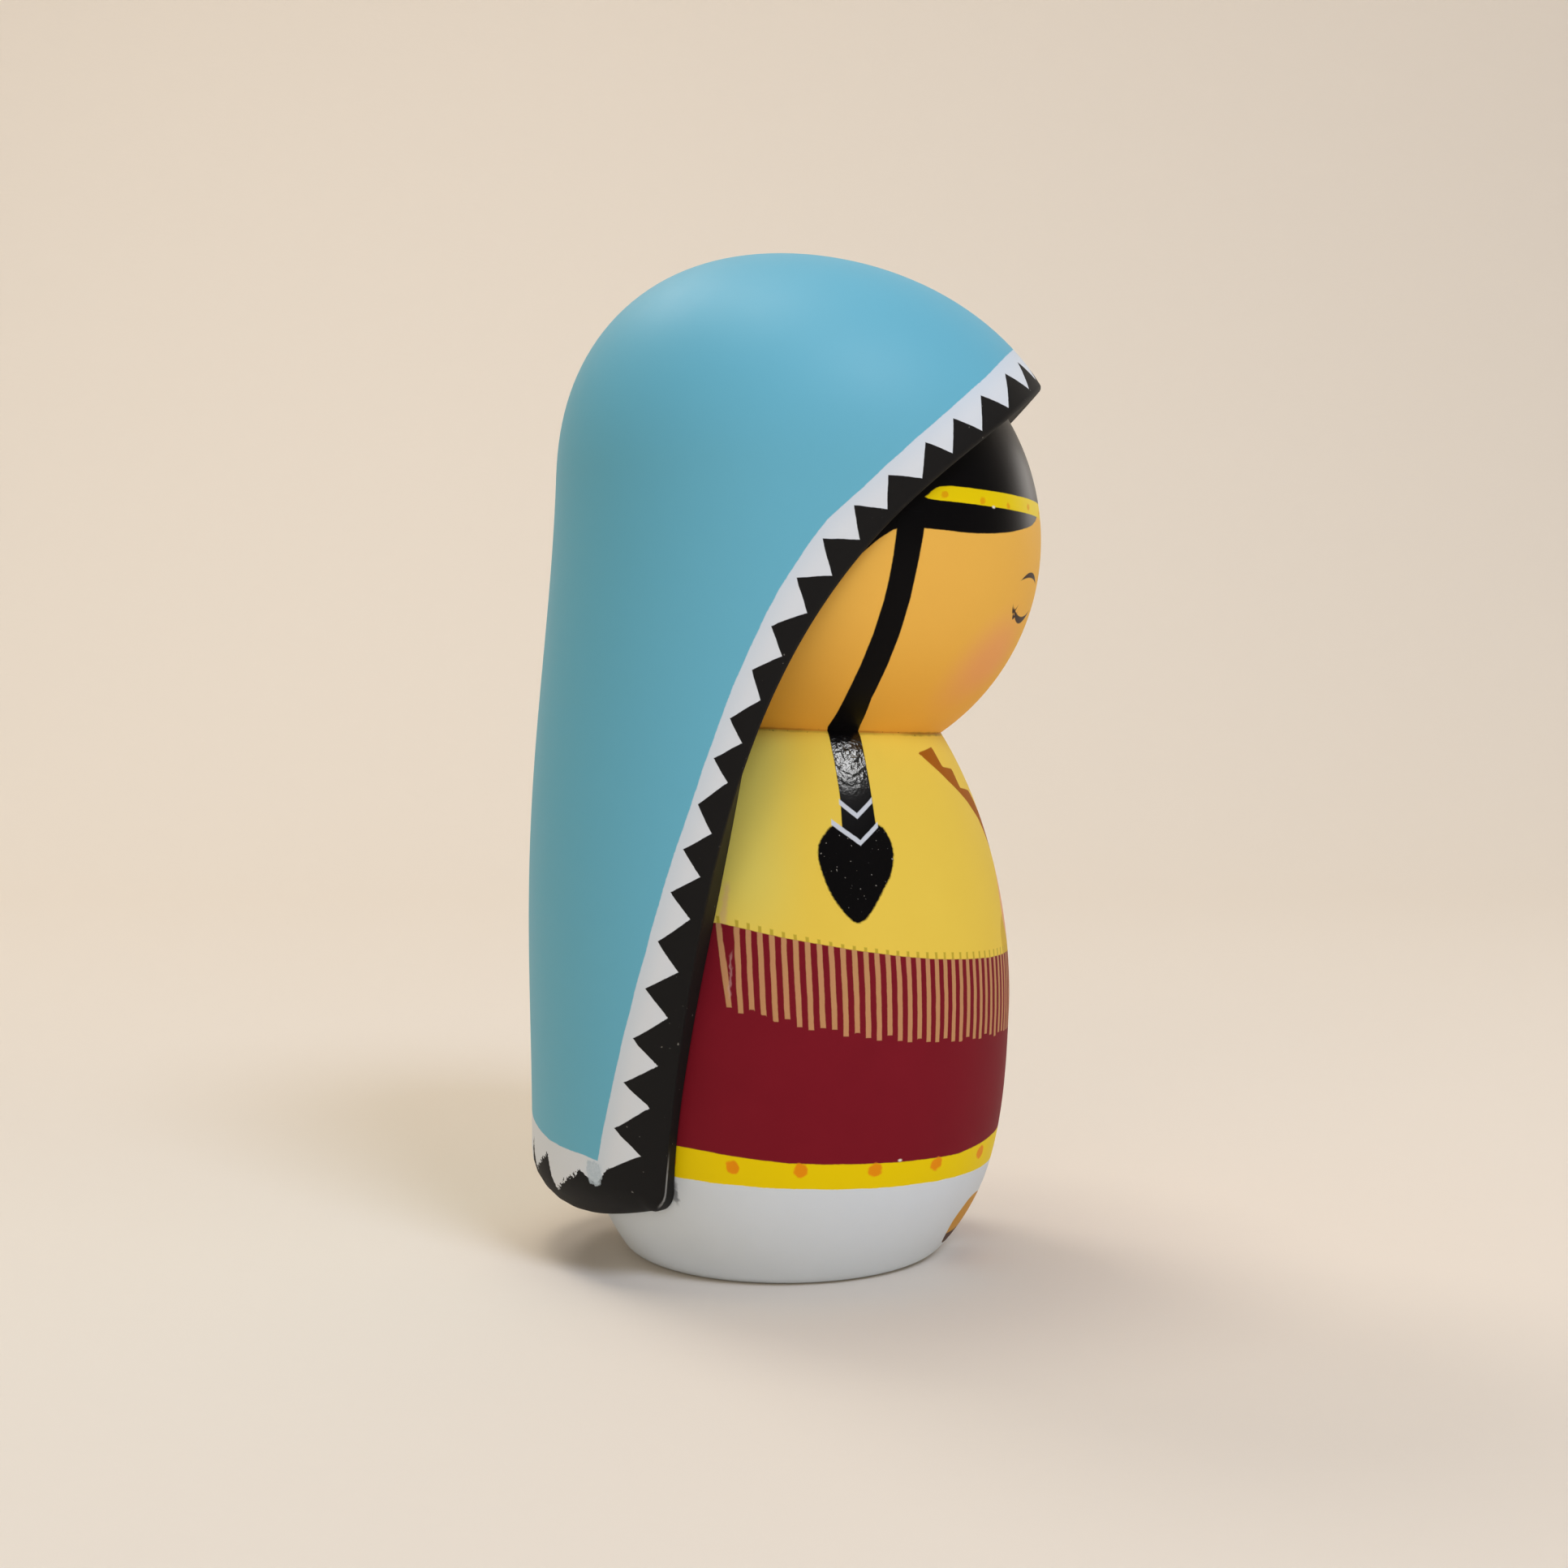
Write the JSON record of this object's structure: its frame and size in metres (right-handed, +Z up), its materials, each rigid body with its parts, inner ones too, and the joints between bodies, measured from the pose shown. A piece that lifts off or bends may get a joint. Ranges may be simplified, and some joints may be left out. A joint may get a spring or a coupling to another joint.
{
  "type": "saint doll",
  "caption": "Painted vinyl saint doll with a large round head, skittle-shaped body and a thick hooded mantle with a zigzag border, leaning slightly forward on a flat base.",
  "frame": {"origin": "middle of the flat underside, on the surface that the doll stands on", "axes": "+Z up, the doll faces -Y, its right side is -X"},
  "size_m": [0.065, 0.0658, 0.1271],
  "materials": {
    "figure_paint": "smooth vinyl, painted in flat colours, satin",
    "mantle_paint": "smooth vinyl, matte sky blue with a satin black and white zigzag border"
  },
  "bodies": {
    "root": {"figure": "figure_paint", "mantle": "mantle_paint"}
  },
  "joints": []
}
